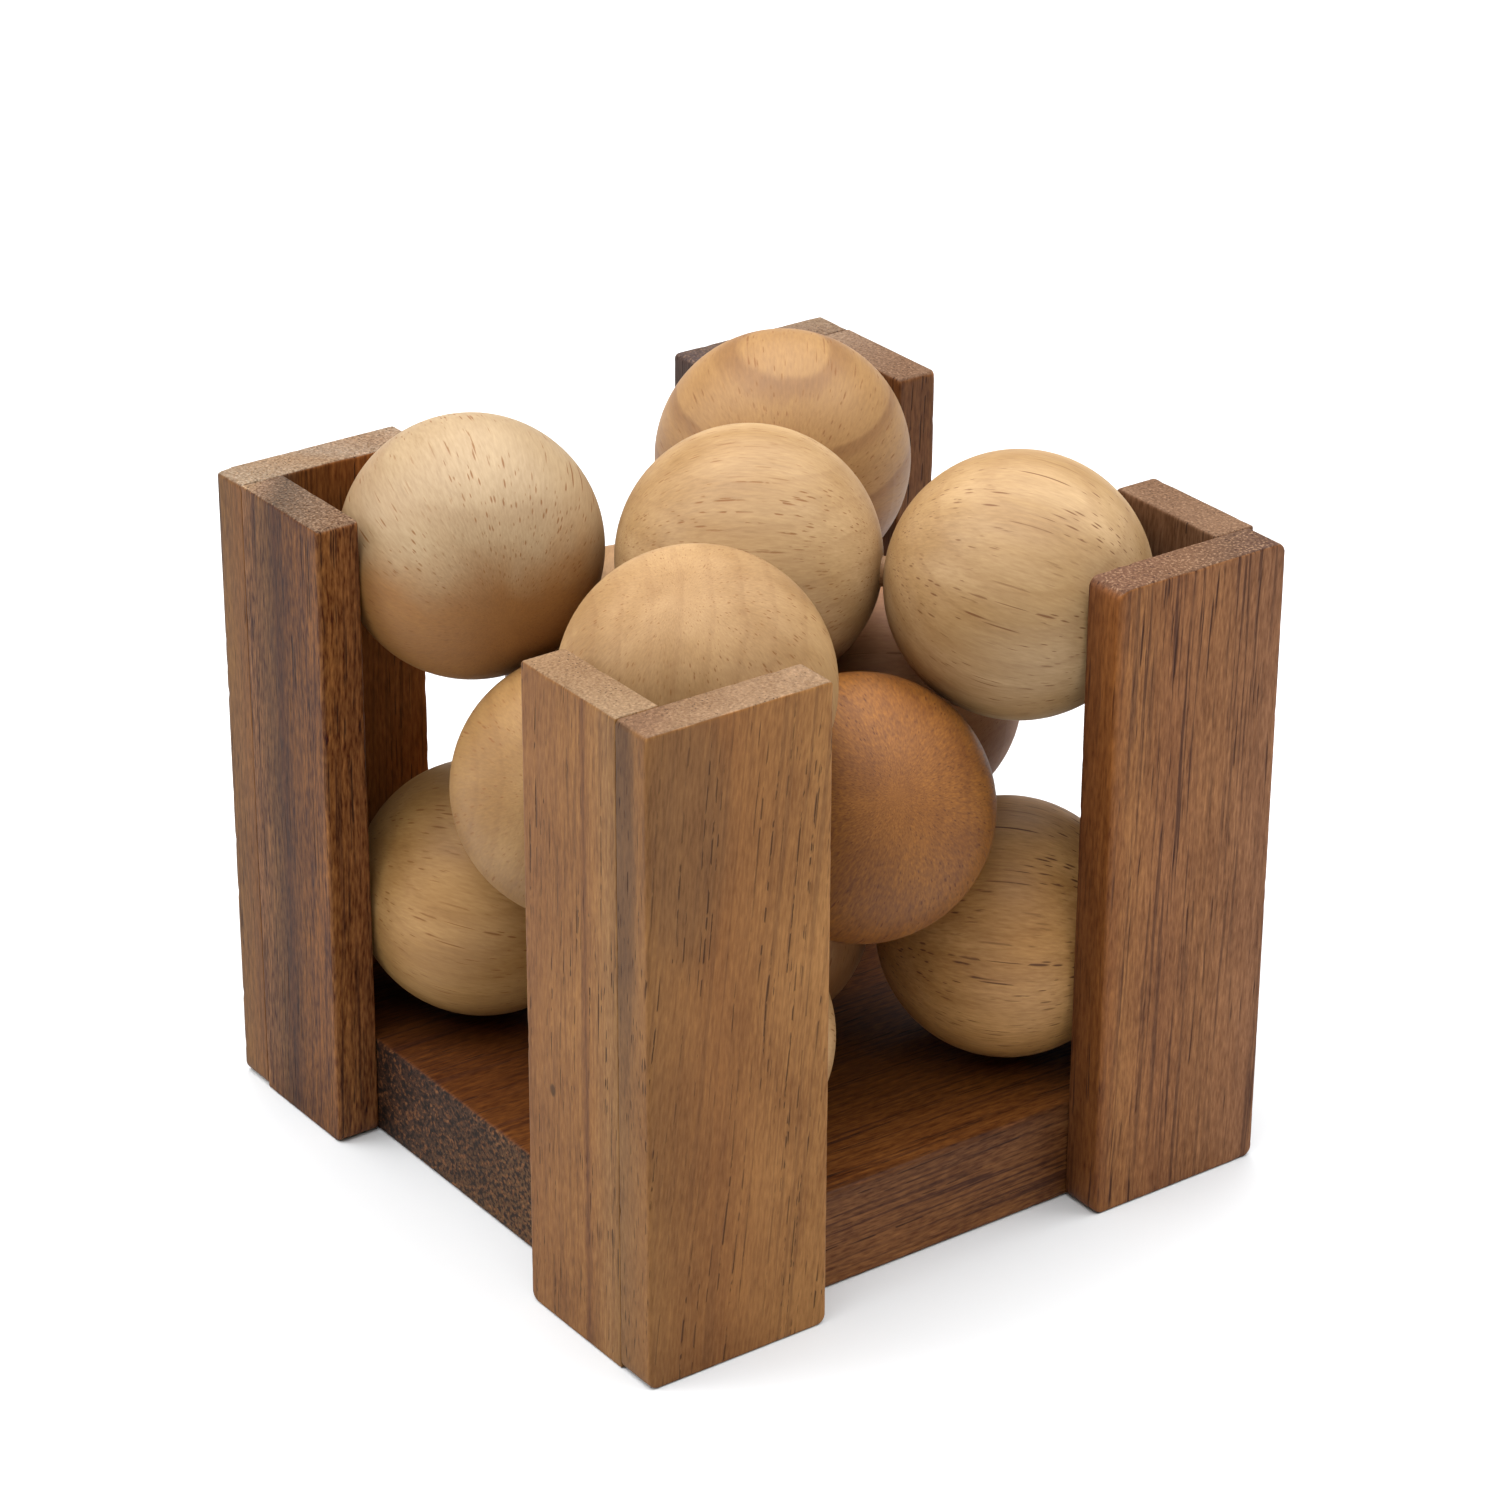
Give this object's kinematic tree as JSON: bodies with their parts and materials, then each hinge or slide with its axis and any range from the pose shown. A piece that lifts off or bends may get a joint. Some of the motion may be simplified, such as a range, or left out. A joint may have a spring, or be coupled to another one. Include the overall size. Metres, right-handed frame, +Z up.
{
  "type": "ball packing puzzle",
  "caption": "Wooden packing puzzle: glued pieces of round balls stacked as a face-centred cube inside an open crate of corner posts on a square base.",
  "frame": {"origin": "middle of the crate's footprint, on the surface it stands on", "axes": "+Z up out of the open top, -Y the front of the crate, +X its right side"},
  "size_m": [0.099, 0.099, 0.1003],
  "materials": {
    "post_wood": "oiled reddish brown hardwood with dark pores and streaks, satin",
    "base_wood": "oiled dark reddish brown hardwood, satin",
    "ball_wood": "turned and waxed pale yellow-tan hardwood with short pores, satin",
    "red_ball_wood": "turned and waxed orange-brown hardwood with straight bands, satin",
    "dowel_wood": "plain hardwood dowel, bare"
  },
  "bodies": {
    "crate": {"back_left_face_board": "post_wood", "back_left_side_board": "post_wood", "back_right_face_board": "post_wood", "back_right_side_board": "post_wood", "base_plate": "base_wood", "front_left_face_board": "post_wood", "front_left_side_board": "post_wood", "front_right_face_board": "post_wood", "front_right_side_board": "post_wood"},
    "bar_piece": {"bar_ball_back_left": "ball_wood", "bar_ball_centre": "ball_wood", "bar_ball_front_right": "ball_wood", "bar_dowel_1": "dowel_wood", "bar_dowel_2": "dowel_wood"},
    "zigzag_piece": {"zigzag_ball_back_right": "ball_wood", "zigzag_ball_front": "ball_wood", "zigzag_ball_front_left": "ball_wood", "zigzag_ball_right": "red_ball_wood", "zigzag_dowel_1": "dowel_wood", "zigzag_dowel_2": "dowel_wood", "zigzag_dowel_3": "dowel_wood"},
    "bend_piece": {"bend_ball_back": "ball_wood", "bend_ball_front_left": "ball_wood", "bend_ball_left": "ball_wood", "bend_dowel_1": "dowel_wood", "bend_dowel_2": "dowel_wood"},
    "tee_piece": {"tee_ball_back_left": "ball_wood", "tee_ball_back_right": "ball_wood", "tee_ball_centre": "ball_wood", "tee_ball_front_right": "ball_wood", "tee_dowel_1": "dowel_wood", "tee_dowel_2": "dowel_wood", "tee_dowel_3": "dowel_wood"}
  },
  "joints": [
    {"name": "bar_lift", "type": "slide", "parent": "crate", "child": "bar_piece", "axis": [0, 0, 1], "range_m": [0, 0.09]},
    {"name": "zigzag_lift", "type": "slide", "parent": "bar_piece", "child": "zigzag_piece", "axis": [0, 0, 1], "range_m": [0, 0.09]},
    {"name": "bend_lift", "type": "slide", "parent": "zigzag_piece", "child": "bend_piece", "axis": [0, 0, 1], "range_m": [0, 0.09]},
    {"name": "tee_lift", "type": "slide", "parent": "bend_piece", "child": "tee_piece", "axis": [0, 0, 1], "range_m": [0, 0.09]}
  ]
}
